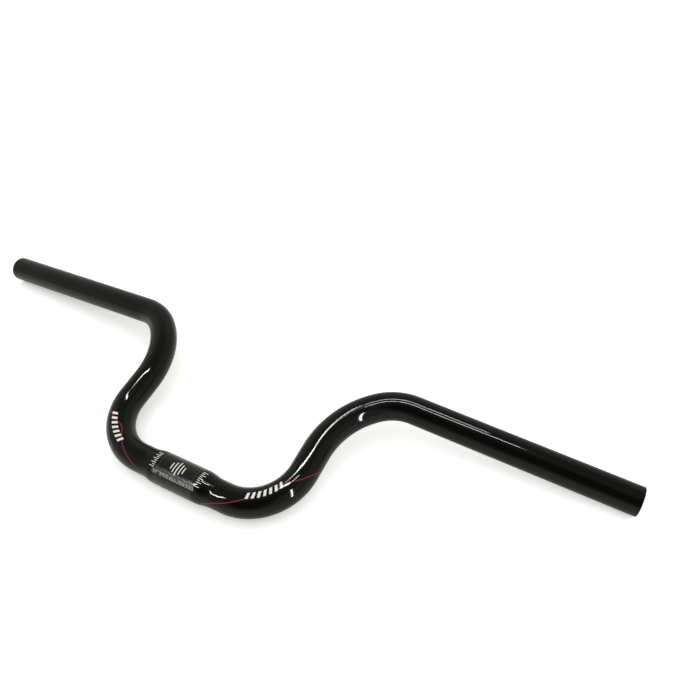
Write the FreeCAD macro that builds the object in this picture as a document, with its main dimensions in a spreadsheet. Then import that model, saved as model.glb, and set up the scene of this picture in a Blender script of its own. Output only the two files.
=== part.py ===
import FreeCAD
import Part
import Sketcher

import math
import os

# A swallow handlebar for a bicycle, bent cold from one hollow aluminium tube.
# The clamp barrel in the middle is swaged down to the grip size. On each side the tube turns up into a
# short leg, then out again through an easy bend and a tight one into a straight grip, open at its end.
# The clamp and the legs lie in the body's XY plane: +X runs along the clamp, +Y is the rise to the grips.
# The wings, from the legs outwards, lean back out of that plane. The body is turned about X until the
# clamp barrel and the two grip ends touch one level surface below it, as the bar lies on a table.

# Driving dimensions in millimetres and degrees: alias, value, meaning.
DIMENSIONS = [
    ("overall_width", 600.0, "between the middles of the two open ends"),
    ("clamp_diameter", 25.4, "outside of the clamp barrel"),
    ("clamp_wall", 2.4, "wall of the clamp barrel"),
    ("clamp_length", 35.0, "length of the clamp barrel"),
    ("shoulder_length", 14.5, "swaged shoulder from the barrel to the grip size"),
    ("grip_diameter", 22.2, "outside of the tube beyond the shoulders"),
    ("grip_wall", 2.0, "wall of the tube beyond the shoulders"),
    ("centre_straight", 79.0, "straight tube between the two lower bends"),
    ("tight_radius", 41.0, "middle line radius of the lower bend and of the bend before the grip"),
    ("leg_length", 18.0, "straight leg above the lower bend"),
    ("easy_radius", 71.0, "middle line radius of the bend above the leg"),
    ("easy_turn", 50.0, "angle that the easy bend turns"),
    ("back_sweep", 4.75, "angle that the wings lean back"),
    ("up_sweep", 0.85, "angle that the grips climb towards their ends"),
    ("rim_chamfer", 0.5, "deburred edges of the open ends"),
]

# Numbers by which a sketch knows the points of a line or arc, its own axes and its origin.
START, END, CENTRE = 1, 2, 3
HORIZONTAL_AXIS, VERTICAL_AXIS = -1, -2
SKETCH_ORIGIN = (HORIZONTAL_AXIS, START)

ALONG_X, ALONG_Y, ALONG_Z = FreeCAD.Vector(1, 0, 0), FreeCAD.Vector(0, 1, 0), FreeCAD.Vector(0, 0, 1)

# Lengths that several features share, as formulas on the sheet.
CLAMP_RADIUS = "Dimensions.clamp_diameter / 2"
GRIP_RADIUS = "Dimensions.grip_diameter / 2"
BEND_X = "Dimensions.centre_straight / 2"
LEG_X = "(Dimensions.centre_straight / 2 + Dimensions.tight_radius)"
LEG_TOP = "(Dimensions.tight_radius + Dimensions.leg_length)"
WING_SPAN = f"(Dimensions.overall_width / 2 - {LEG_X})"

doc = FreeCAD.newDocument("swallow_handlebar")


def make_sheet():
    sheet = doc.addObject("Spreadsheet::Sheet", "Dimensions")
    for row, (alias, value, meaning) in enumerate(DIMENSIONS, start=1):
        sheet.set(f"A{row}", meaning)
        sheet.set(f"B{row}", str(value))
        sheet.setAlias(f"B{row}", alias)
    doc.recompute()
    return sheet


sheet = make_sheet()
body = doc.addObject("PartDesign::Body", "handlebar")
body.Label = "handlebar"


def origin_plane(role):
    return next(feature for feature in body.Origin.OriginFeatures if feature.Role == role)


def new_sketch(name, role, **offsets):
    """A sketch on an origin plane, moved along its own x, y or z axis by formulas on the sheet."""
    sketch = body.newObject("Sketcher::SketchObject", name)
    sketch.AttachmentSupport = [(origin_plane(role), "")]
    sketch.MapMode = "FlatFace"
    for axis, formula in offsets.items():
        sketch.setExpression(f".AttachmentOffset.Base.{axis}", formula)
    return sketch


def point(x, y):
    return FreeCAD.Vector(x, y, 0)


def add_line(sketch, first, last):
    return sketch.addGeometry(Part.LineSegment(first, last))


def add_arc(sketch, centre, radius, first_angle, last_angle):
    """An arc in a sketch always runs anticlockwise, so its start is at the smaller angle."""
    circle = Part.Circle(centre, ALONG_Z, radius)
    return sketch.addGeometry(Part.ArcOfCircle(circle, math.radians(first_angle), math.radians(last_angle)))


def constrain(sketch, kind, *places):
    return sketch.addConstraint(Sketcher.Constraint(kind, *places))


def dimension(sketch, formula, kind, *places_and_value):
    """A driving dimension: it starts at the value given last and follows its formula on the sheet."""
    index = constrain(sketch, kind, *places_and_value)
    sketch.setExpression(f"Constraints[{index}]", formula)


def swaged_wall(sketch, barrel_radius, tube_radius):
    """One face of the wall in section: barrel, a shoulder of two equal arcs in an S, then tube."""
    barrel_end = sheet.clamp_length / 2
    tube_start = barrel_end + sheet.shoulder_length
    step = barrel_radius - tube_radius
    s_radius = (sheet.shoulder_length**2 + step**2) / (4 * step)
    s_angle = math.degrees(math.asin(sheet.shoulder_length / 2 / s_radius))

    barrel = add_line(sketch, point(0, barrel_radius), point(barrel_end, barrel_radius))
    crown = add_arc(sketch, point(barrel_end, barrel_radius - s_radius), s_radius, 90 - s_angle, 90)
    hollow = add_arc(sketch, point(tube_start, tube_radius + s_radius), s_radius, 270 - s_angle, 270)
    tube = add_line(sketch, point(tube_start, tube_radius), point(sheet.centre_straight / 2, tube_radius))

    constrain(sketch, "PointOnObject", barrel, START, VERTICAL_AXIS)
    constrain(sketch, "Horizontal", barrel)
    constrain(sketch, "Tangent", barrel, END, crown, END)
    constrain(sketch, "Tangent", crown, START, hollow, START)
    constrain(sketch, "Tangent", hollow, END, tube, START)
    constrain(sketch, "Equal", crown, hollow)
    constrain(sketch, "Horizontal", tube)
    dimension(sketch, "Dimensions.clamp_length / 2", "DistanceX", *SKETCH_ORIGIN, barrel, END, barrel_end)
    dimension(
        sketch, "Dimensions.shoulder_length", "DistanceX", barrel, END, tube, START, sheet.shoulder_length
    )
    return barrel, tube


def make_clamp():
    """Half of the clamp zone, from the middle of the bar to the lower bend, as a revolved wall."""
    sketch = new_sketch("ClampWall", "XY_Plane")
    clamp_radius = sheet.clamp_diameter / 2
    grip_radius = sheet.grip_diameter / 2
    bend_x = sheet.centre_straight / 2
    clamp_bore = clamp_radius - sheet.clamp_wall
    grip_bore = grip_radius - sheet.grip_wall
    outer_barrel, outer_tube = swaged_wall(sketch, clamp_radius, grip_radius)
    inner_barrel, inner_tube = swaged_wall(sketch, clamp_bore, grip_bore)
    middle = add_line(sketch, point(0, clamp_bore), point(0, clamp_radius))
    bend = add_line(sketch, point(bend_x, grip_bore), point(bend_x, grip_radius))

    constrain(sketch, "Coincident", middle, START, inner_barrel, START)
    constrain(sketch, "Coincident", middle, END, outer_barrel, START)
    constrain(sketch, "Coincident", bend, START, inner_tube, END)
    constrain(sketch, "Coincident", bend, END, outer_tube, END)
    constrain(sketch, "Vertical", bend)
    dimension(sketch, CLAMP_RADIUS, "DistanceY", *SKETCH_ORIGIN, middle, END, clamp_radius)
    dimension(sketch, "Dimensions.clamp_wall", "DistanceY", middle, START, middle, END, sheet.clamp_wall)
    dimension(sketch, GRIP_RADIUS, "DistanceY", *SKETCH_ORIGIN, bend, END, grip_radius)
    dimension(sketch, "Dimensions.grip_wall", "DistanceY", bend, START, bend, END, sheet.grip_wall)
    dimension(sketch, BEND_X, "DistanceX", *SKETCH_ORIGIN, bend, END, bend_x)

    clamp = body.newObject("PartDesign::Revolution", "Clamp")
    clamp.Profile = sketch
    clamp.ReferenceAxis = (sketch, ["H_Axis"])
    clamp.Angle = 360
    doc.recompute()
    return clamp


def sweep_tube(name, section, path):
    """Carries the tube's section, two circles about the sketch's own origin, along a path."""
    radii = {
        GRIP_RADIUS: sheet.grip_diameter / 2,
        f"{GRIP_RADIUS} - Dimensions.grip_wall": sheet.grip_diameter / 2 - sheet.grip_wall,
    }
    for formula, radius in radii.items():
        circle = section.addGeometry(Part.Circle(point(0, 0), ALONG_Z, radius))
        constrain(section, "Coincident", circle, CENTRE, *SKETCH_ORIGIN)
        dimension(section, formula, "Radius", circle, radius)

    pipe = body.newObject("PartDesign::AdditivePipe", name)
    pipe.Profile = section
    pipe.Spine = path
    doc.recompute()
    return pipe


def make_lower_bend():
    """The quarter bend beside the clamp and the straight leg above it."""
    path = new_sketch("LowerPath", "XY_Plane")
    bend_x = sheet.centre_straight / 2
    leg_x = bend_x + sheet.tight_radius
    leg_foot = point(leg_x, sheet.tight_radius)
    leg_top = point(leg_x, sheet.tight_radius + sheet.leg_length)
    bend = add_arc(path, point(bend_x, sheet.tight_radius), sheet.tight_radius, 270, 360)
    leg = add_line(path, leg_foot, leg_top)

    constrain(path, "PointOnObject", bend, START, HORIZONTAL_AXIS)
    constrain(path, "Vertical", bend, START, bend, CENTRE)
    constrain(path, "Horizontal", bend, CENTRE, bend, END)
    constrain(path, "Coincident", bend, END, leg, START)
    constrain(path, "Vertical", leg)
    dimension(path, BEND_X, "DistanceX", *SKETCH_ORIGIN, bend, START, bend_x)
    dimension(path, "Dimensions.tight_radius", "Radius", bend, sheet.tight_radius)
    dimension(path, "Dimensions.leg_length", "DistanceY", leg, START, leg, END, sheet.leg_length)

    section = new_sketch("BendSection", "YZ_Plane", z=BEND_X)
    return sweep_tube("LowerBend", section, path)


def make_wing():
    """The easy bend, the tight bend and the straight grip, in a plane that leans back about the leg."""
    path = new_sketch("WingPath", "XY_Plane", x=LEG_X)
    path.AttachmentOffset.Rotation = FreeCAD.Rotation(ALONG_Y, sheet.back_sweep)
    path.setExpression(".AttachmentOffset.Rotation.Angle", "Dimensions.back_sweep")

    leg_top = point(0, sheet.tight_radius + sheet.leg_length)
    easy_end = 180 - sheet.easy_turn
    grip_start = 90 + sheet.up_sweep
    easy_centre = leg_top + point(sheet.easy_radius, 0)
    towards_joint = FreeCAD.Rotation(ALONG_Z, easy_end).multVec(ALONG_X)
    tight_centre = easy_centre + towards_joint * (sheet.easy_radius - sheet.tight_radius)
    towards_grip = FreeCAD.Rotation(ALONG_Z, grip_start).multVec(ALONG_X)
    grip_foot = tight_centre + towards_grip * sheet.tight_radius
    leg_x = sheet.centre_straight / 2 + sheet.tight_radius
    tip_x = (sheet.overall_width / 2 - leg_x) / math.cos(math.radians(sheet.back_sweep))
    tip_y = grip_foot.y + (tip_x - grip_foot.x) * math.tan(math.radians(sheet.up_sweep))

    easy = add_arc(path, easy_centre, sheet.easy_radius, easy_end, 180)
    tight = add_arc(path, tight_centre, sheet.tight_radius, grip_start, easy_end)
    grip = add_line(path, grip_foot, point(tip_x, tip_y))

    constrain(path, "PointOnObject", easy, END, VERTICAL_AXIS)
    constrain(path, "Horizontal", easy, END, easy, CENTRE)
    constrain(path, "Tangent", easy, START, tight, END)
    constrain(path, "Tangent", tight, START, grip, START)
    dimension(path, LEG_TOP, "DistanceY", *SKETCH_ORIGIN, easy, END, leg_top.y)
    dimension(path, "Dimensions.easy_radius", "Radius", easy, sheet.easy_radius)
    dimension(path, "Dimensions.easy_turn", "Angle", easy, math.radians(sheet.easy_turn))
    dimension(path, "Dimensions.tight_radius", "Radius", tight, sheet.tight_radius)
    dimension(path, "Dimensions.up_sweep", "Angle", grip, math.radians(sheet.up_sweep))
    dimension(
        path, f"{WING_SPAN} / cos(Dimensions.back_sweep)", "DistanceX", *SKETCH_ORIGIN, grip, END, tip_x
    )
    tip_rise = constrain(path, "DistanceY", *SKETCH_ORIGIN, grip, END, tip_y)
    path.setDriving(tip_rise, False)
    path.renameConstraint(tip_rise, "tip_rise")

    section = new_sketch("WingSection", "XZ_Plane", x=LEG_X, z=f"-{LEG_TOP}")
    return sweep_tube("Wing", section, path)


def mirror_half(features):
    mirror = body.newObject("PartDesign::Mirrored", "OtherHalf")
    mirror.Originals = features
    mirror.MirrorPlane = (origin_plane("YZ_Plane"), [""])
    body.Tip = mirror
    doc.recompute()
    return mirror


def deburr_rims(whole):
    """Chamfers the edges of the two flat faces at the ends of the bar, the faces that lie furthest out."""
    furthest = max(abs(face.CenterOfMass.x) for face in whole.Shape.Faces)
    reach = furthest - sheet.rim_chamfer
    rims = [edge for face in whole.Shape.Faces if abs(face.CenterOfMass.x) > reach for edge in face.Edges]
    names = [
        f"Edge{number}"
        for number, edge in enumerate(whole.Shape.Edges, start=1)
        if any(edge.isSame(rim) for rim in rims)
    ]
    chamfer = body.newObject("PartDesign::Chamfer", "Rims")
    chamfer.Base = (whole, names)
    chamfer.setExpression("Size", "Dimensions.rim_chamfer")
    body.Tip = chamfer
    doc.recompute()


def lay_down():
    """Turns the bar about the clamp axis until barrel and grip ends touch one level surface."""
    rise = "(WingPath.Constraints.tip_rise / 1mm)"
    drop = f"({WING_SPAN} * tan(Dimensions.back_sweep))"
    step = f"({CLAMP_RADIUS} - {GRIP_RADIUS})"
    lean = f"atan2({drop}; {rise}) - asin({step} / hypot({drop}; {rise}))"
    body.Placement.Rotation = FreeCAD.Rotation(ALONG_X, sheet.back_sweep)
    body.setExpression(".Placement.Rotation.Angle", lean)
    doc.recompute()


def check_document():
    failed = [item.Label for item in doc.Objects if {"Invalid", "Error"} & set(item.State)]
    if failed:
        raise RuntimeError(f"features failed: {failed}")
    if body.Shape.isNull() or not body.Shape.isValid() or len(body.Shape.Solids) != 1:
        raise RuntimeError("the handlebar is not one valid solid")


half = [make_clamp(), make_lower_bend(), make_wing()]
whole = mirror_half(half)
deburr_rims(whole)
lay_down()
check_document()

os.makedirs("parts", exist_ok=True)
body.Shape.exportStep(f"parts/{body.Label}.step")
print(f"handlebar: {body.Shape.Volume:.0f} mm3, {body.Shape.optimalBoundingBox()}")
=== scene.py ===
import bpy
import numpy as np
from mathutils import Matrix, Vector


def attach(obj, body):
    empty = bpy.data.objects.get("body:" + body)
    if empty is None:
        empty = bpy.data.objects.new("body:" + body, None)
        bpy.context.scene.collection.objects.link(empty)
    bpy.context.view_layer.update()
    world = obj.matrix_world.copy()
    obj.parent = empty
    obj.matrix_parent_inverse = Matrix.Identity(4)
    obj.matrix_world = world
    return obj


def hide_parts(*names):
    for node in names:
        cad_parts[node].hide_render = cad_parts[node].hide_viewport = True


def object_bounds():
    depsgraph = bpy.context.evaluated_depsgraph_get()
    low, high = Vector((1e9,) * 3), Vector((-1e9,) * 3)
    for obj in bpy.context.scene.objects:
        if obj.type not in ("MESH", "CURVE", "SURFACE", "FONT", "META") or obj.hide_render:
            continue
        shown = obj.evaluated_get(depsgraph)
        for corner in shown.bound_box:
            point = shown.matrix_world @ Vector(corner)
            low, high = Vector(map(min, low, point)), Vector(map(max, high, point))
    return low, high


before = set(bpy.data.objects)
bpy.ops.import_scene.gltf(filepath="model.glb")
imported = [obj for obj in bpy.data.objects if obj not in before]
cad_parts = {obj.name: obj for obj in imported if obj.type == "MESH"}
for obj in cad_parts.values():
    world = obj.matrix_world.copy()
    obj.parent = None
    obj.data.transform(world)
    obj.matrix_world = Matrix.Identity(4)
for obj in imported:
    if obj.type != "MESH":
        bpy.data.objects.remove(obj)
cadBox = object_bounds()
print("frame loaded, nodes:", sorted(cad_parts))

mm = 0.001


# one value in a node tree: Python operators on it add Math nodes
class Wire:
    def __init__(self, tree, socket=None):
        self.tree = tree
        self.socket = socket

    # any node: its type, its settings first, then what its sockets hold or are linked to
    def add(self, kind, settings=None, inputs=None, output=0):
        node = self.tree.nodes.new(kind)
        for name, value in (settings or {}).items():
            setattr(node, name, value)
        for key, value in (inputs or {}).items():
            if isinstance(value, Wire):
                self.tree.links.new(value.socket, node.inputs[key])
            else:
                node.inputs[key].default_value = value
        return Wire(self.tree, node.outputs[output] if node.outputs else None)

    def math(self, operation, *values):
        return self.add("ShaderNodeMath", {"operation": operation}, dict(enumerate(values)))

    def __add__(self, other):
        return self.math("ADD", self, other)

    def __radd__(self, other):
        return self.math("ADD", other, self)

    def __sub__(self, other):
        return self.math("SUBTRACT", self, other)

    def __rsub__(self, other):
        return self.math("SUBTRACT", other, self)

    def __mul__(self, other):
        return self.math("MULTIPLY", self, other)

    def __rmul__(self, other):
        return self.math("MULTIPLY", other, self)

    def __truediv__(self, other):
        return self.math("DIVIDE", self, other)

    def __rtruediv__(self, other):
        return self.math("DIVIDE", other, self)

    def __pow__(self, other):
        return self.math("POWER", self, other)

    def __abs__(self):
        return self.math("ABSOLUTE", self)

    # 0 below the edge and 1 above it, with a soft step between
    def above(self, edge, soft):
        return self.add("ShaderNodeMapRange", {"interpolation_type": "SMOOTHSTEP"}, {
            "Value": self - edge, "From Min": -soft, "From Max": soft})

    # 1 within reach of the middle
    def within(self, middle, reach, soft):
        return 1 - abs(self - middle).above(reach, soft)

    # colours a and b mixed by this value
    def tint(self, a, b):
        return self.add("ShaderNodeMix", {"data_type": "RGBA"}, {0: self, 6: a, 7: b}, 2)


def newMaterial(name):
    material = bpy.data.materials.new(name)
    material.use_nodes = True
    material.node_tree.nodes.clear()
    return material, Wire(material.node_tree)


# the bar's own measures, in mm and degrees
barShape = {
    "width": 600, "clampDiameter": 25.4, "clampWall": 2.4, "clampLength": 35, "shoulderLength": 14.5,
    "gripDiameter": 22.2, "gripWall": 2, "centreStraight": 79, "tightRadius": 41, "legLength": 18,
    "easyRadius": 71, "easyTurn": 50, "backSweep": 4.75, "upSweep": 0.85, "rimRound": 0.5,
    "ringsAlong": 720, "ringsInside": 120, "ringsRim": 5, "sidesAround": 96, "stepsPerMm": 50,
}


# lengths and turns of the right half's runs, from the middle outwards: straight, bend, leg, easy, tight, grip
def barRuns(bar):
    tight, easy = bar["tightRadius"], bar["easyRadius"]
    easyTurn, upSweep, backSweep = np.radians([bar["easyTurn"], bar["upSweep"], bar["backSweep"]])
    wingSpan = bar["width"] / 2 - bar["centreStraight"] / 2 - tight
    gripStart = easy * (1 - np.cos(easyTurn)) + tight * (np.cos(easyTurn) - np.sin(upSweep))
    gripLength = (wingSpan / np.cos(backSweep) - gripStart) / np.cos(upSweep)
    tightTurn = np.pi / 2 - upSweep - easyTurn
    turns = np.array([0, np.pi / 2, 0, -easyTurn, -tightTurn, 0])
    lengths = np.abs(turns) * [0, tight, 0, easy, tight, 0]
    lengths[[0, 2, 5]] = bar["centreStraight"] / 2, bar["legLength"], gripLength
    return lengths, turns


# middle line: the heading sums the turns along the runs, and the place sums the heading in fine steps
# the part beyond the leg is then leaned back about the leg
def barLine(bar, along):
    lengths, turns = barRuns(bar)
    runEnds = np.concatenate([[0], np.cumsum(lengths)])
    runHeadings = np.concatenate([[0], np.cumsum(turns)])
    fine = np.linspace(0, runEnds[-1], int(runEnds[-1] * bar["stepsPerMm"]))
    middleHeading = np.interp((fine[1:] + fine[:-1]) / 2, runEnds, runHeadings)
    fineX = np.concatenate([[0], np.cumsum(np.cos(middleHeading) * np.diff(fine))])
    fineY = np.concatenate([[0], np.cumsum(np.sin(middleHeading) * np.diff(fine))])

    reach, side = np.abs(along), np.where(along < 0, -1, 1)
    x, y = np.interp(reach, fine, fineX), np.interp(reach, fine, fineY)
    heading = np.interp(reach, runEnds, runHeadings)
    lean = np.radians(bar["backSweep"]) * np.clip((reach - runEnds[2]) / lengths[2], 0, 1)
    legX = bar["centreStraight"] / 2 + bar["tightRadius"]
    out = np.maximum(x - legX, 0)
    level, climb = np.cos(heading), np.sin(heading)
    place = np.stack([side * (x - out + out * np.cos(lean)), y, -out * np.sin(lean)], 1)
    ahead = np.stack([level * np.cos(lean), side * climb, -side * level * np.sin(lean)], 1)
    front = np.stack([side * np.sin(lean), np.zeros_like(lean), np.cos(lean)], 1)
    return place, ahead, front


# half of the step from barrel to tube on each of two equal arcs, which meet in an S
def swagedRadius(bar, along, barrel, tube):
    step, length = barrel - tube, bar["shoulderLength"]
    arc = (length**2 + step**2) / (4 * step)
    run = np.clip(np.abs(along) - bar["clampLength"] / 2, 0, length)
    near = np.minimum(run, length - run)
    sag = arc - np.sqrt(arc**2 - near**2)
    return np.where(run < length / 2, barrel - sag, tube + sag)


# angle about the clamp at which barrel and grip ends touch one level surface
def restAngle(bar):
    lengths, _ = barRuns(bar)
    tip, _, _ = barLine(bar, np.array([lengths.sum()]))
    drop, rise = -tip[0, 2], tip[0, 1]
    step = (bar["clampDiameter"] - bar["gripDiameter"]) / 2
    return np.arctan2(drop, rise) - np.arcsin(step / np.hypot(drop, rise))


# the layout for baking the paint: how far the printed middle and the seen ends of the bore reach, in mm,
# and the heights of its rows: left wing, printed middle, right wing, right bore end, bore, left bore end
bakeRows = {"printed": 117, "boreEnd": 60, "heights": (0.2, 0.33, 0.2, 0.1, 0.06, 0.1), "gap": 0.008}


# the way round the grid, from the left rim along the outside and back through the bore, is cut into rows
# that fill the width, split along the underside; each row is as tall as its detail needs, and none overlap
def bakeLayout(rows, half, way, i, j, sides):
    outsideEnd, wayEnd = 2 * half, way[-1]
    middle, end = rows["printed"], rows["boreEnd"]
    cutAt = [half - middle, half + middle, outsideEnd, outsideEnd + end, wayEnd - end]
    cuts = np.concatenate([[0], np.searchsorted(way, cutAt), [len(way) - 1]])
    row = (np.searchsorted(cuts, i, side="right") - 1)[..., None]
    corner = np.stack([i, i + 1, i + 1, i], -1)
    across = (way[corner] - way[cuts[row]]) / (way[cuts[row + 1]] - way[cuts[row]])
    heights = np.array(rows["heights"])
    base = np.cumsum(heights) - heights
    turned = (j + sides // 2) % sides
    share = np.stack([turned, turned, turned + 1, turned + 1], -1) / sides
    up = base[row] + rows["gap"] / 2 + share * (heights[row] - rows["gap"])
    return np.stack([across, up], -1)


# a ring of points carried along the outside, round one rim, back through the bore and round the other rim,
# so the grid closes on itself both ways
# place = middle line + radius * (cos(angle) * front + sin(angle) * side)
def makeBar(bar):
    lengths, _ = barRuns(bar)
    half, rim = lengths.sum(), bar["rimRound"]
    clampR, gripR = bar["clampDiameter"] / 2, bar["gripDiameter"] / 2
    boreR = gripR - bar["gripWall"]
    corner = np.linspace(0, np.pi / 2, bar["ringsRim"] + 1)[1:]
    outside = np.linspace(rim - half, half - rim, bar["ringsAlong"])
    inside = np.linspace(half - rim, rim - half, bar["ringsInside"])
    outerR = swagedRadius(bar, outside, clampR, gripR)
    innerR = swagedRadius(bar, inside, clampR - bar["clampWall"], boreR)
    lipS = half - rim + rim * np.concatenate([np.sin(corner), np.cos(corner)[:-1]])
    lipR = np.concatenate([gripR - rim + rim * np.cos(corner), boreR + rim - rim * np.sin(corner)[:-1]])
    along = np.concatenate([outside, lipS, inside, -lipS[::-1]])
    radius = np.concatenate([outerR, lipR, innerR, lipR[::-1]])
    rimDepth = -np.ones(len(lipS))
    depth = np.concatenate([-np.ones(len(outside)), rimDepth, half - np.abs(inside), rimDepth])

    sides = bar["sidesAround"]
    angle = np.arange(sides) * 2 * np.pi / sides
    place, ahead, front = barLine(bar, along)
    side = np.cross(front, ahead)
    cosine, sine = np.cos(angle)[None, :, None], np.sin(angle)[None, :, None]
    out = cosine * front[:, None] + sine * side[:, None]
    grid = place[:, None] + radius[:, None, None] * out
    turn = restAngle(bar)
    level = np.array([[1, 0, 0], [0, np.cos(turn), -np.sin(turn)], [0, np.sin(turn), np.cos(turn)]])
    points = (grid.reshape(-1, 3) @ level.T) * mm

    rings = len(along)
    i, j = np.meshgrid(np.arange(rings), np.arange(sides), indexing="ij")
    cornerI = np.stack([i, (i + 1) % rings, (i + 1) % rings, i], -1)
    cornerJ = np.stack([j, j, j + 1, j + 1], -1)
    quads = (cornerI * sides + cornerJ % sides).reshape(-1, 4)
    spread = np.stack([(along[cornerI] + half) / (2 * half), cornerJ / sides], -1)
    steps = np.hypot(np.diff(along, append=along[0]), np.diff(radius, append=radius[0]))
    baked = bakeLayout(bakeRows, half - rim, np.concatenate([[0], np.cumsum(steps)]), i, j, sides)

    mesh = bpy.data.meshes.new("handlebarTube")
    mesh.from_pydata(points, [], quads.tolist())
    mesh.uv_layers.new(name="alongAround").data.foreach_set("uv", spread.astype(np.float32).ravel())
    mesh.uv_layers.new(name="OFBake").data.foreach_set("uv", baked.astype(np.float32).ravel())
    bore = mesh.attributes.new("boreDepth", "FLOAT", "POINT")
    bore.data.foreach_set("value", np.repeat(depth, sides).astype(np.float32))
    mesh.polygons.foreach_set("use_smooth", np.ones(len(quads), bool))
    mesh.update()
    piece = bpy.data.objects.new("handlebar_tube", mesh)
    bpy.context.scene.collection.objects.link(piece)
    return piece


# finish of the bar: colours, gloss, the printed marks and a painted highlight band on the clamp zone, in mm
# along the bar and degrees round it
# a name ending in Edge or Soft is how soft an edge is; one in PerDegree is mm round the bar for a degree
paint = {
    "black": (0.0026, 0.0027, 0.0025), "crimson": (0.21, 0.02, 0.035), "white": (0.74, 0.74, 0.72),
    "gloss": 0.04, "shine": 0.1945, "smudge": 0.03, "smudgeSize": 28, "smudgeFrom": 0.55, "smudgeSoft": 0.2,
    "peelSize": 3.5, "peelHeight": 0.0015, "rippleSize": 22, "rippleHeight": 0.015,
    "clampReach": 17.5, "clampSoft": 1.5, "clampRough": 0.2, "clampCoat": 0.3, "clampCoatRough": 0.2,
    "grainSize": 1.1, "grainHeight": 0.07,
    "limitLine": 15.2, "limitWidth": 0.28, "limitEdge": 0.08, "limitStrength": 0.06,
    "combStart": 18.2, "combMiddle": 5, "tickCount": 9, "tickLong": 4.2, "tickShort": 2.3,
    "tickWidth": 0.5, "tickEdge": 0.1, "tickPitch": 7, "tickPerDegree": 0.22,
    "centreLines": 5, "centrePitch": 2.6, "centreWidth": 0.8, "centreEdge": 0.1,
    "centreTall": 26, "centreTallEdge": 0.5, "centreTaper": 0.27, "centreDrop": 5,
    "dashCount": 7, "dashMiddle": (-69.5, 71), "dashRow": (-5, 3), "dashPitch": 4.2, "dashSlant": 0.07,
    "dashWidth": 2.1, "dashEdge": 0.12, "dashTall": 12, "dashTallEdge": 0.6,
    # the next three lines set a painted highlight: a band of fine light lines on the clamp zone, broken up
    # into grains
    "sheenRow": -35, "sheenPitch": 1.3, "sheenSlant": 0.12, "sheenWidth": 0.5, "sheenEdge": 0.15,
    "sheenTall": 6.5, "sheenTallEdge": 2, "sheenReach": 19, "sheenReachEdge": 0.8,
    "sheenGrainSize": 2.5, "sheenGrainFrom": 0.40, "sheenGrainSoft": 0.16, "sheenGrainStrength": 0.75,
    "stripeWidth": 0.75, "stripeEdge": 0.12, "stripeSpan": (16.5, 121), "stripeEndEdge": 0.5,
    "stripePerDegree": 0.172, "stripeRound": 14, "stripeTopSoft": 2,
    "stripes": [
        {"side": -1, "top": 68, "topAngle": 20, "inner": (2.1, 0.018), "outer": (3.6, 0.0)},
        {"side": 1, "top": 76.5, "topAngle": 16, "inner": (1.15, 0.021), "outer": (2.2, 0.045)},
    ],
}
# the bore: bare metal where the spray thins out, in mm behind the rim, and the marks of drawing on it
boreLook = {
    "metal": (0.56, 0.56, 0.57), "bareFrom": 15, "bareSoft": 5, "patchSize": 2.2, "patchDepth": 10,
    "startEdge": 0.3, "rough": 0.3, "drawnRough": 0.1, "drawnHeight": 0.02,
    "drawnAlong": 0.02, "drawnAround": 0.4,
}
countEdge = 0.01  # softness of a step between two whole numbers


# a rounded roof in the angle round the bar: it falls by its own slope on each side of its top
def stripeMask(along, around, look, stripe):
    out = along * stripe["side"]
    reach = out - stripe["top"]
    far = (reach * reach + look["stripeRound"]) ** 0.5 - look["stripeRound"] ** 0.5
    inner, outer = (far * (stripe[key][0] + far * stripe[key][1]) for key in ("inner", "outer"))
    roof = inner + reach.above(0, look["stripeTopSoft"]) * (outer - inner)
    off = abs(around - (stripe["topAngle"] - roof)) * look["stripePerDegree"]
    line = off.within(0, look["stripeWidth"] / 2, look["stripeEdge"])
    started, ended = (out.above(end, look["stripeEndEdge"]) for end in look["stripeSpan"])
    return line * started * (1 - ended)


# ticks along the bar, every other one long, outside both ends of the clamp zone
def combMask(along, around, look):
    reach = abs(along) - look["combStart"]
    turn = (around - look["combMiddle"]) / look["tickPitch"]
    nearest = turn.math("ROUND", turn)
    odd = nearest.math("MODULO", abs(nearest), 2)
    length = look["tickLong"] - odd * (look["tickLong"] - look["tickShort"])
    edge = look["tickEdge"]
    off = (turn - nearest) * (look["tickPitch"] * look["tickPerDegree"])
    line = off.within(0, look["tickWidth"] / 2, edge)
    count = nearest.within(0, look["tickCount"] / 2, countEdge)
    return line * count * reach.above(0, edge) * (length - reach).above(0, edge)


# short lines round the bar at its middle, the outer ones shorter
def centreMask(along, around, look):
    step = along / look["centrePitch"]
    nearest = step.math("ROUND", step)
    tall = look["centreTall"] * (1 - abs(nearest) * look["centreTaper"])
    line = ((step - nearest) * look["centrePitch"]).within(0, look["centreWidth"] / 2, look["centreEdge"])
    count = nearest.within(0, look["centreLines"] / 2, countEdge)
    return line * count * (tall - abs(around - look["centreDrop"])).above(0, look["centreTallEdge"])


# a row of slanted dashes
def dashMask(along, around, look, middle, row):
    step = (along - middle - (around - row) * look["dashSlant"]) / look["dashPitch"]
    nearest = step.math("ROUND", step)
    dash = ((step - nearest) * look["dashPitch"]).within(0, look["dashWidth"] / 2, look["dashEdge"])
    count = nearest.within(0, look["dashCount"] / 2, countEdge)
    return dash * count * around.within(row, look["dashTall"], look["dashTallEdge"])


# a painted highlight: a band of fine slanted light lines along the clamp zone, where a lamp's sheen falls,
# broken into grains in places
def paintedSheenMask(along, around, look, sheenGrain):
    step = (along + (around - look["sheenRow"]) * look["sheenSlant"]) / look["sheenPitch"]
    off = (step - step.math("ROUND", step)) * look["sheenPitch"]
    line = off.within(0, look["sheenWidth"] / 2, look["sheenEdge"])
    row = around.within(look["sheenRow"], look["sheenTall"], look["sheenTallEdge"])
    return line * row * abs(along).within(0, look["sheenReach"], look["sheenReachEdge"]) * sheenGrain


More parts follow.
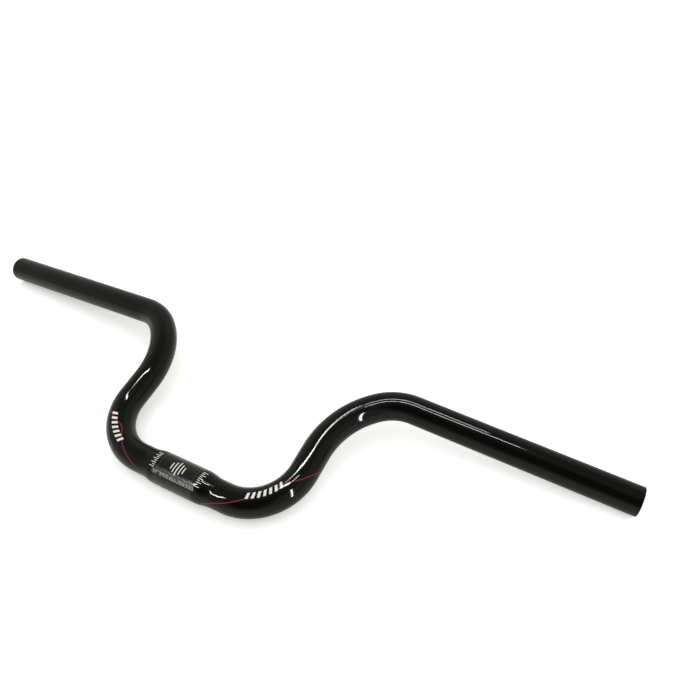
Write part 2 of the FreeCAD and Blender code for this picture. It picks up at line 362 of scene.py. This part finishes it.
def paintMaterial(look, bore, half):
    material, wire = newMaterial("glossBlackPaint")
    place = wire.add("ShaderNodeTexCoord", output="Object")
    spread = wire.add("ShaderNodeUVMap", {"uv_map": "alongAround"})
    along = (wire.add("ShaderNodeSeparateXYZ", {}, {0: spread}, "X") * 2 - 1) * half
    turn = wire.add("ShaderNodeSeparateXYZ", {}, {0: spread}, "Y")
    around = (turn.math("FRACT", turn + 0.5) - 0.5) * 360
    depth = wire.add("ShaderNodeAttribute", {"attribute_name": "boreDepth"}, output="Fac")

    def noise(size, detail):
        return wire.add("ShaderNodeTexNoise", {}, {
            "Vector": place, "Scale": 1 / (size * mm), "Detail": detail})

    inside = depth.above(0, bore["startEdge"])
    outside = 1 - inside
    clamp = abs(along).within(0, look["clampReach"], look["clampSoft"]) * outside
    crimson = sum((stripeMask(along, around, look, stripe) for stripe in look["stripes"]), 0)
    marksAndSheen = combMask(along, around, look) + centreMask(along, around, look)
    for middle, row in zip(look["dashMiddle"], look["dashRow"]):
        marksAndSheen = marksAndSheen + dashMask(along, around, look, middle, row)
    # painted highlight: the sheen band on the clamp zone, broken into grains by this noise, goes in with the
    # white print
    sheenGrain = noise(look["sheenGrainSize"], 2).above(look["sheenGrainFrom"], look["sheenGrainSoft"]) * look["sheenGrainStrength"]
    marksAndSheen = marksAndSheen + paintedSheenMask(along, around, look, sheenGrain)
    limit = abs(along).within(look["limitLine"], look["limitWidth"] / 2, look["limitEdge"])
    limit = limit * look["limitStrength"]

    patchy = depth + noise(bore["patchSize"], 3) * bore["patchDepth"]
    bare = patchy.above(bore["bareFrom"], bore["bareSoft"])
    streaks = wire.add("ShaderNodeCombineXYZ", {}, {
        0: along * bore["drawnAlong"], 1: around * bore["drawnAround"]})
    drawn = wire.add("ShaderNodeTexNoise", {}, {"Vector": streaks, "Scale": 1.0})

    black = (*look["black"], 1)
    colour = (crimson * outside).tint(black, (*look["crimson"], 1))
    # the white holds both the print and the painted highlight band
    colour = ((marksAndSheen + limit) * outside).tint(colour, (*look["white"], 1))
    colour = bare.tint(colour, (*bore["metal"], 1))
    smudged = noise(look["smudgeSize"], 2).above(look["smudgeFrom"], look["smudgeSoft"])
    rough = look["gloss"] + smudged * look["smudge"]
    rough = rough + clamp * (look["clampRough"] - look["gloss"])
    rough = rough + inside * bore["rough"] + bare * drawn * bore["drawnRough"]

    bump = noise(look["peelSize"], 1) * (look["peelHeight"] * mm)
    bump = bump + noise(look["rippleSize"], 0) * (look["rippleHeight"] * mm)
    bump = bump + clamp * noise(look["grainSize"], 2) * (look["grainHeight"] * mm)
    bump = bump + bare * drawn * (bore["drawnHeight"] * mm)
    normal = wire.add("ShaderNodeBump", {}, {"Strength": 1.0, "Distance": 1.0, "Height": bump})
    shader = wire.add("ShaderNodeBsdfPrincipled", {}, {
        "Base Color": colour, "Roughness": rough, "Metallic": bare, "Normal": normal,
        "Specular IOR Level": look["shine"],
        "Coat Weight": clamp * look["clampCoat"], "Coat Roughness": look["clampCoatRough"]})
    wire.add("ShaderNodeOutputMaterial", {}, {"Surface": shader})
    return material


bar = makeBar(barShape)
bar.data.materials.append(paintMaterial(paint, boreLook, float(barRuns(barShape)[0].sum())))
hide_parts("handlebar")
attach(bar, "root")
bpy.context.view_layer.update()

# camera: where it looks on the floor, from which side, and how far it is tipped, in mm and degrees
shot = {
    "target": (44.637, 177.924, -12.7), "azimuth": 30.441, "elevation": 46.231, "roll": -3.563,
    "distance": 594.42, "lens": 34.659, "sensor": 36, "nearest": 10,
}


def makeCamera(shot):
    azimuth, elevation = np.radians([shot["azimuth"], shot["elevation"]])
    level = np.cos(elevation)
    back = Vector((np.sin(azimuth) * level, -np.cos(azimuth) * level, np.sin(elevation)))
    right = Vector((0, 0, 1)).cross(back).normalized()
    axes = Matrix((right, back.cross(right), back)).transposed().to_4x4()
    tip = Matrix.Rotation(np.radians(shot["roll"]), 4, "Z")
    place = Matrix.Translation((Vector(shot["target"]) + back * shot["distance"]) * mm)
    camera = bpy.data.objects.new("shot", bpy.data.cameras.new("shot"))
    camera.data.lens = shot["lens"]
    camera.data.sensor_width = shot["sensor"]
    camera.data.clip_start = shot["nearest"] * mm
    camera.matrix_world = place @ axes @ tip
    bpy.context.scene.collection.objects.link(camera)
    bpy.context.scene.camera = camera


makeCamera(shot)

# pale ground, in m: its colour near the bar and, darker as a painted shade that the gloss mirrors, far behind
# it, where it fades from one to the other, how much it glows, how much more on the right and from where, and
# how much of a glow the gloss shows
floorLook = {
    "size": 40.0, "gap": 0.0001, "near": 0.95, "far": 0.66, "fade": 0.195, "fadeSoft": 0.065,
    "glow": 0.35, "glowRight": 0.11, "rightFrom": 0.095, "rightSoft": 0.045, "mirrored": 0.05,
}


def makeFloor(look):
    size, level = look["size"] / 2, cadBox[0][2] - look["gap"]
    corners = [(-size, -size, level), (size, -size, level), (size, size, level), (-size, size, level)]
    mesh = bpy.data.meshes.new("floor")
    mesh.from_pydata(corners, [], [(0, 1, 2, 3)])
    floor = bpy.data.objects.new("floor", mesh)
    bpy.context.scene.collection.objects.link(floor)
    material, wire = newMaterial("paleFloor")
    camera, glossy, through = (wire.add("ShaderNodeLightPath", output=f"Is {kind} Ray")
                               for kind in ("Camera", "Glossy", "Transmission"))
    place = wire.add("ShaderNodeTexCoord", output="Object")
    across, depth = (wire.add("ShaderNodeSeparateXYZ", {}, {0: place}, axis) for axis in "XY")
    right = across.above(look["rightFrom"], look["rightSoft"])
    glow = camera * (right * look["glowRight"] + look["glow"]) + (glossy + through) * look["mirrored"]
    near, far = ((look[key],) * 3 + (1,) for key in ("near", "far"))
    # painted shade: the ground turns darker far behind the bar, so the gloss mirrors a shaded ground there
    pale = depth.above(look["fade"], look["fadeSoft"]).tint(near, far)
    matt = wire.add("ShaderNodeBsdfDiffuse", {}, {"Color": pale})
    bright = wire.add("ShaderNodeEmission", {}, {"Color": glow, "Strength": 1.0})
    mixed = wire.add("ShaderNodeAddShader", {}, {0: matt, 1: bright})
    wire.add("ShaderNodeOutputMaterial", {}, {"Surface": mixed})
    mesh.materials.append(material)


makeFloor(floorLook)
print("camera and floor made")

# a wide soft lamp lights everything; the gloss shows only the strips on the ceiling and a tall window
# places and sides in m; face is how bright the lamp's own face is
softLamp = {"place": (0.1, 0.2, 2.4), "sides": (6.0, 6.0), "face": 0.97}
window = {"place": (2.3, -0.80, 1.08), "sides": (0.10, 2.3), "face": 75}
stripLook = {"height": 2.5, "face": 95, "hoodedFace": 118, "hoodedPiece": 0.05}
# places that hooded strips point to, in m, and how wide their hoods let the light fan out, in degrees
aims = {
    "leftLeg": {"place": (-0.08, 0.045, 0.017), "beam": 6},
    "bendLow": {"place": (0.082, 0.045, 0.018), "beam": 4},
    "bendStart": {"place": (0.081, 0.042, 0.017), "beam": 2.1},
    "bendHigh": {"place": (0.088, 0.082, 0.021), "beam": 3.2},
    "rightGrip": {"place": (0.15, 0.121, 0.021), "beam": 5.2},
}
# ends of each strip and its width, in m; one with an aim has a hood, and only that part of the bar shows it
strips = {
    "leftBack": {"from": (-0.81, 0.515), "to": (-0.48, 0.575), "width": 0.045, "aim": "leftLeg"},
    "leftBackMid": {"from": (-0.50, 0.58), "to": (0.0, 0.655), "width": 0.055, "aim": "leftLeg"},
    "leftBackEnd": {"from": (-0.14, 0.67), "to": (0.04, 0.71), "width": 0.11, "aim": "leftLeg"},
    "backLeft": {"from": (-1.10, 0.62), "to": (-0.72, 0.585), "width": 0.045, "aim": "bendLow"},
    "back": {"from": (-0.72, 0.585), "to": (-0.40, 0.60), "width": 0.055, "aim": "bendLow"},
    "backEnd": {"from": (-0.40, 0.60), "to": (0.08, 0.645), "width": 0.085, "aim": "bendStart"},
    "riseNear": {"from": (-0.14, 0.655), "to": (-0.31, 0.75), "width": 0.065, "aim": "bendHigh"},
    "riseFar": {"from": (-0.31, 0.75), "to": (-0.47, 1.03), "width": 0.07, "aim": "bendHigh"},
    "far": {"from": (-0.25, 0.89), "to": (0.24, 0.985), "width": 0.075, "aim": "rightGrip"},
    "front": {"from": (-0.60, 0.26), "to": (-0.11, 0.16), "width": 0.085},
    "frontMid": {"from": (-0.12, 0.10), "to": (0.14, 0.09), "width": 0.075},
    "frontRight": {"from": (0.14, 0.13), "to": (0.41, 0.305), "width": 0.065},
    "left": {"from": (-1.66, -2.30), "to": (-1.12, -1.22), "width": 0.075},
}


# an area light whose face shines evenly; back points away from what it lights
def makeLamp(name, look, back, up, gloss):
    light = bpy.data.lights.new(name, "AREA")
    light.shape = "RECTANGLE"
    light.size, light.size_y = look["sides"]
    light.energy = look["face"] * np.pi * light.size * light.size_y
    # a hood narrows the light but keeps its power, so less power leaves the face as bright as before
    if "beam" in look:
        light.spread = np.radians(look["beam"])
        light.energy *= 1 - light.spread / 2 / np.tan(light.spread / 2)
    right = up.cross(back).normalized()
    axes = Matrix((right, back.cross(right), back)).transposed().to_4x4()
    lamp = bpy.data.objects.new(name, light)
    lamp.matrix_world = Matrix.Translation(look["place"]) @ axes
    lamp.visible_camera = False
    lamp.visible_glossy = gloss
    lamp.visible_diffuse = not gloss
    bpy.context.scene.collection.objects.link(lamp)


skyward = Vector((0, 0, 1))
makeLamp("softLamp", softLamp, skyward, Vector((0, 1, 0)), False)
makeLamp("window", window, Vector(window["place"]).normalized(), skyward, True)
for name, strip in strips.items():
    start, end = (Vector((*strip[key], stripLook["height"])) for key in ("from", "to"))
    length = (end - start).length
    if "aim" not in strip:
        look = {"place": (start + end) / 2, "sides": (strip["width"], length), "face": stripLook["face"]}
        makeLamp(name, look, skyward, end - start, True)
        continue
    # a hooded strip is a row of short lamps, each turned to the same place
    aim = aims[strip["aim"]]
    count = max(1, round(length / stripLook["hoodedPiece"]))
    look = {"sides": (strip["width"], length / count), "face": stripLook["hoodedFace"], "beam": aim["beam"]}
    for step in range(count):
        look["place"] = start.lerp(end, (step + 0.5) / count)
        back = (look["place"] - Vector(aim["place"])).normalized()
        makeLamp(f"{name}.{step}", look, back, end - start, True)

# the room: plain white to the camera; the gloss mirrors pale walls, a dimmer ceiling above a height,
# and a dark place high up in front, all in the tint of the room's light
room = {
    "seen": 1.0, "tint": (0.965, 1.0, 0.83),
    "walls": 0.68, "ceiling": 0.38, "ceilingFrom": 0.72, "ceilingSoft": 0.14,
    "dark": 0.05, "darkTowards": (0.103, -0.736, 0.669), "darkFrom": 0.872, "darkSoft": 0.106,
}


def makeRoom(look):
    world = bpy.data.worlds.new("studio")
    world.use_nodes = True
    world.node_tree.nodes.clear()
    wire = Wire(world.node_tree)
    towards = wire.add("ShaderNodeTexCoord", output="Object")
    height = wire.add("ShaderNodeSeparateXYZ", {}, {0: towards}, "Z")
    facing = wire.add("ShaderNodeVectorMath", {"operation": "DOT_PRODUCT"},
                      {0: towards, 1: look["darkTowards"]}, "Value")
    overhead = height.above(look["ceilingFrom"], look["ceilingSoft"])
    light = look["walls"] + overhead * (look["ceiling"] - look["walls"])
    dark = facing.above(look["darkFrom"], look["darkSoft"])
    mirrored = (light + dark * (look["dark"] - light)).tint((0, 0, 0, 1), (*look["tint"], 1))
    camera, through = (wire.add("ShaderNodeLightPath", output=f"Is {kind} Ray")
                       for kind in ("Camera", "Transmission"))
    shown = (camera + through).tint(mirrored, (look["seen"],) * 3 + (1,))
    glow = wire.add("ShaderNodeBackground", {}, {"Color": shown, "Strength": 1.0})
    wire.add("ShaderNodeOutputWorld", {}, {"Surface": glow})
    bpy.context.scene.world = world


makeRoom(room)
print("lamps: softLamp, window,", ", ".join(strips))

bpy.context.scene.view_settings.view_transform = "Standard"
